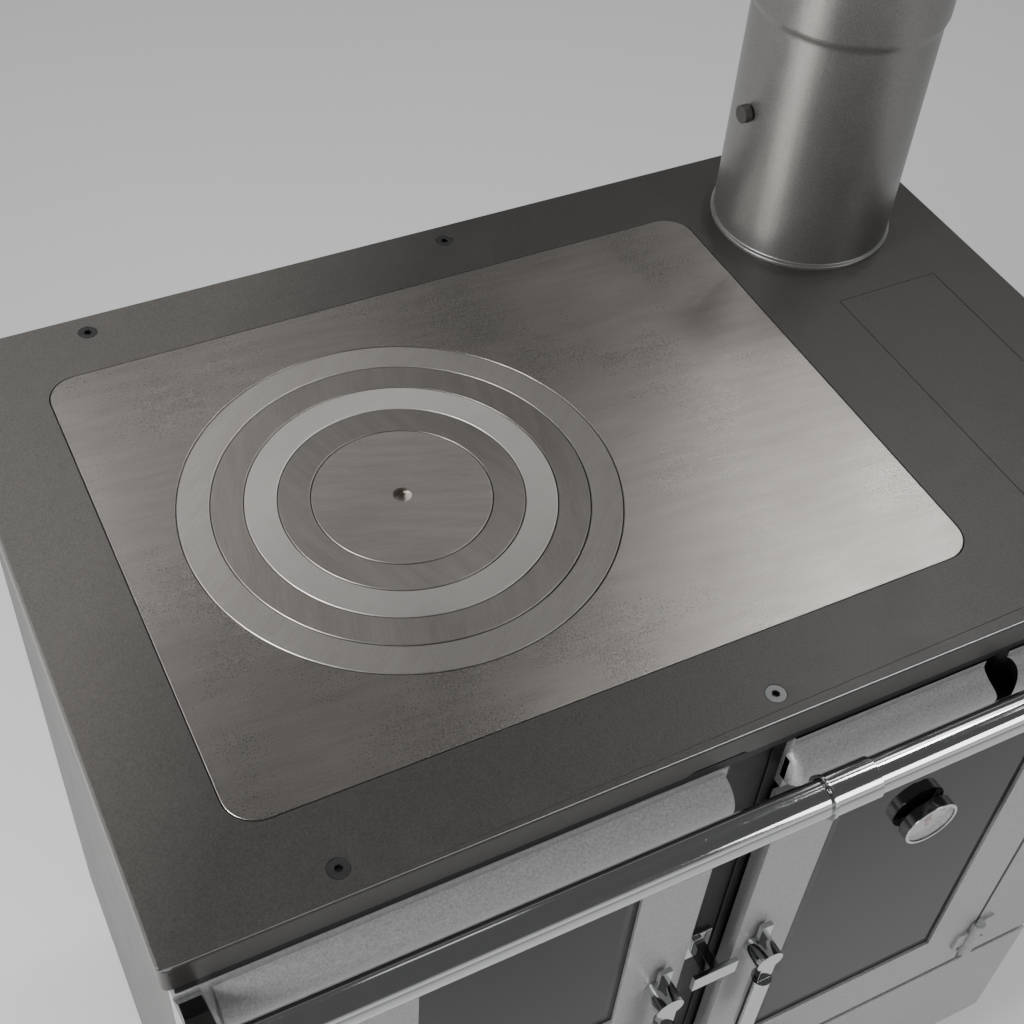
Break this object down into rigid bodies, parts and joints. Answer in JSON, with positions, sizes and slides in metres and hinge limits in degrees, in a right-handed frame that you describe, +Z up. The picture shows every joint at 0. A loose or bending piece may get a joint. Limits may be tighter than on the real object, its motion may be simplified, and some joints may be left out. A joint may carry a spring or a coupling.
{
  "type": "range cooker",
  "caption": "Free-standing wood-burning range cooker: cast iron hotplate with lift-off rings, glazed firebox and oven doors, drawers for ash and wood, and a flue with a damper.",
  "frame": {"origin": "on the floor under the feet, at the centre of the bounding box seen from above", "axes": "+X to the right along the front, +Y to the back, +Z up"},
  "size_m": [0.793, 0.5828, 1.105],
  "materials": {
    "frame_paint": "satin charcoal stove paint",
    "milled_iron": "milled and oiled",
    "dark_iron": "milled and darkened",
    "black_screw": "blackened",
    "rope_seal": "woven glass rope",
    "seal_band": "flat woven seal",
    "flue_paint": "satin grey flue paint",
    "front_enamel": "fine-grained silver grey",
    "dark_sheet": "satin black",
    "side_paint": "satin charcoal",
    "galvanised": "galvanised sheet",
    "chrome": "polished",
    "raw_iron": "as cast",
    "firebrick": "fired clay, rough",
    "mineral_board": "pressed mineral board",
    "oven_enamel": "grey oven enamel",
    "tray_enamel": "black enamel",
    "door_glass": "dark heat-proof glass",
    "gauge_glass": "clear",
    "needle_paint": "red",
    "foot_rubber": "zinc plated"
  },
  "bodies": {
    "cooker": {"top_frame": "frame_paint", "hotplate_seal": "seal_band", "frame_screws": "black_screw", "flue_spigot": "raw_iron", "flue_pipe": "flue_paint", "left_fascia": "front_enamel", "right_fascia": "front_enamel", "left_rail": "chrome", "right_rail": "chrome", "rail_collar": "chrome", "rail_brackets": "chrome", "left_column": "front_enamel", "right_column": "front_enamel", "latch_keeper": "chrome", "front_plate": "dark_sheet", "left_side": "side_paint", "right_side": "side_paint", "back_panel": "galvanised", "base_plate": "galvanised", "divider_plate": "galvanised", "plinth": "dark_sheet", "levelling_feet": "foot_rubber", "insulation_boards": "mineral_board", "firebox_shell": "raw_iron", "left_firebrick": "firebrick", "right_firebrick": "firebrick", "rear_firebrick": "firebrick", "smoke_box": "dark_sheet", "oven_liner": "oven_enamel", "hinge_pins": "chrome"},
    "hotplate_plate": {"hotplate": "milled_iron"},
    "ring_one": {"ring_1": "milled_iron"},
    "ring_two": {"ring_2": "dark_iron"},
    "ring_three": {"ring_3": "milled_iron"},
    "ring_four": {"ring_4": "dark_iron"},
    "disc": {"centre_disc": "milled_iron"},
    "cover": {"cleaning_cover": "frame_paint"},
    "damper": {"flue_damper": "raw_iron"},
    "fire_door": {"firebox_door": "front_enamel", "firebox_glass": "door_glass", "firebox_gasket": "rope_seal"},
    "fire_latch": {"firebox_latch": "chrome"},
    "oven_door_leaf": {"oven_door": "front_enamel", "oven_glass": "door_glass", "oven_gasket": "rope_seal", "thermometer_case": "chrome", "thermometer_lens": "gauge_glass"},
    "oven_door_latch": {"oven_latch": "chrome"},
    "needle": {"thermometer_needle": "needle_paint"},
    "fire_grate": {"grate": "raw_iron"},
    "ash_drawer": {"ash_drawer_front": "front_enamel", "ash_pan": "dark_sheet", "ash_handle": "chrome"},
    "ash_valve": {"air_valve": "chrome"},
    "start_slide": {"start_damper": "chrome"},
    "rack": {"oven_rack": "chrome"},
    "tray": {"oven_tray": "tray_enamel"},
    "wood_drawer": {"wood_drawer_front": "front_enamel", "wood_drawer_box": "galvanised", "wood_drawer_handle": "chrome"}
  },
  "joints": [
    {"name": "hotplate_lift", "type": "slide", "parent": "cooker", "child": "hotplate_plate", "axis": [0, 0, 1], "range_m": [0, 0.06]},
    {"name": "ring_1_lift", "type": "slide", "parent": "hotplate_plate", "child": "ring_one", "axis": [0, 0, 1], "range_m": [0, 0.06]},
    {"name": "ring_2_lift", "type": "slide", "parent": "ring_one", "child": "ring_two", "axis": [0, 0, 1], "range_m": [0, 0.06]},
    {"name": "ring_3_lift", "type": "slide", "parent": "ring_two", "child": "ring_three", "axis": [0, 0, 1], "range_m": [0, 0.06]},
    {"name": "ring_4_lift", "type": "slide", "parent": "ring_three", "child": "ring_four", "axis": [0, 0, 1], "range_m": [0, 0.06]},
    {"name": "disc_lift", "type": "slide", "parent": "ring_four", "child": "disc", "axis": [0, 0, 1], "range_m": [0, 0.06]},
    {"name": "cleaning_cover_lift", "type": "slide", "parent": "cooker", "child": "cover", "axis": [0, 0, 1], "range_m": [0, 0.06]},
    {"name": "flue_damper_turn", "type": "hinge", "parent": "cooker", "child": "damper", "pos_m": [0.2868, 0.1933, 0.97], "axis": [1, 0, 0], "range_deg": [0, 90]},
    {"name": "firebox_door_hinge", "type": "hinge", "parent": "cooker", "child": "fire_door", "pos_m": [-0.305, -0.2426, 0.6105], "axis": [0, 0, -1], "range_deg": [0, 110]},
    {"name": "firebox_latch_turn", "type": "hinge", "parent": "fire_door", "child": "fire_latch", "pos_m": [-0.058, -0.2396, 0.562], "axis": [0, 1, 0], "range_deg": [0, 85]},
    {"name": "oven_door_hinge", "type": "hinge", "parent": "cooker", "child": "oven_door_leaf", "pos_m": [0.305, -0.2426, 0.5315], "axis": [0, 0, 1], "range_deg": [0, 110]},
    {"name": "oven_latch_turn", "type": "hinge", "parent": "oven_door_leaf", "child": "oven_door_latch", "pos_m": [0.028, -0.2396, 0.562], "axis": [0, -1, 0], "range_deg": [0, 85]},
    {"name": "thermometer_needle_turn", "type": "hinge", "parent": "oven_door_leaf", "child": "needle", "pos_m": [0.1555, -0.2496, 0.653], "axis": [0, 1, 0], "range_deg": [-135, 135]},
    {"name": "grate_shake", "type": "slide", "parent": "cooker", "child": "fire_grate", "axis": [0, -1, 0], "range_m": [0, 0.02]},
    {"name": "ash_drawer_slide", "type": "slide", "parent": "cooker", "child": "ash_drawer", "axis": [0, -1, 0], "range_m": [0, 0.3]},
    {"name": "air_valve_turn", "type": "hinge", "parent": "ash_drawer", "child": "ash_valve", "pos_m": [-0.1705, -0.2396, 0.389], "axis": [0, 1, 0], "range_deg": [0, 60]},
    {"name": "start_damper_pull", "type": "slide", "parent": "cooker", "child": "start_slide", "axis": [0, -1, 0], "range_m": [0, 0.05]},
    {"name": "oven_rack_slide", "type": "slide", "parent": "cooker", "child": "rack", "axis": [0, -1, 0], "range_m": [0, 0.03]},
    {"name": "oven_tray_slide", "type": "slide", "parent": "cooker", "child": "tray", "axis": [0, -1, 0], "range_m": [0, 0.03]},
    {"name": "wood_drawer_slide", "type": "slide", "parent": "cooker", "child": "wood_drawer", "axis": [0, -1, 0], "range_m": [0, 0.35]}
  ]
}
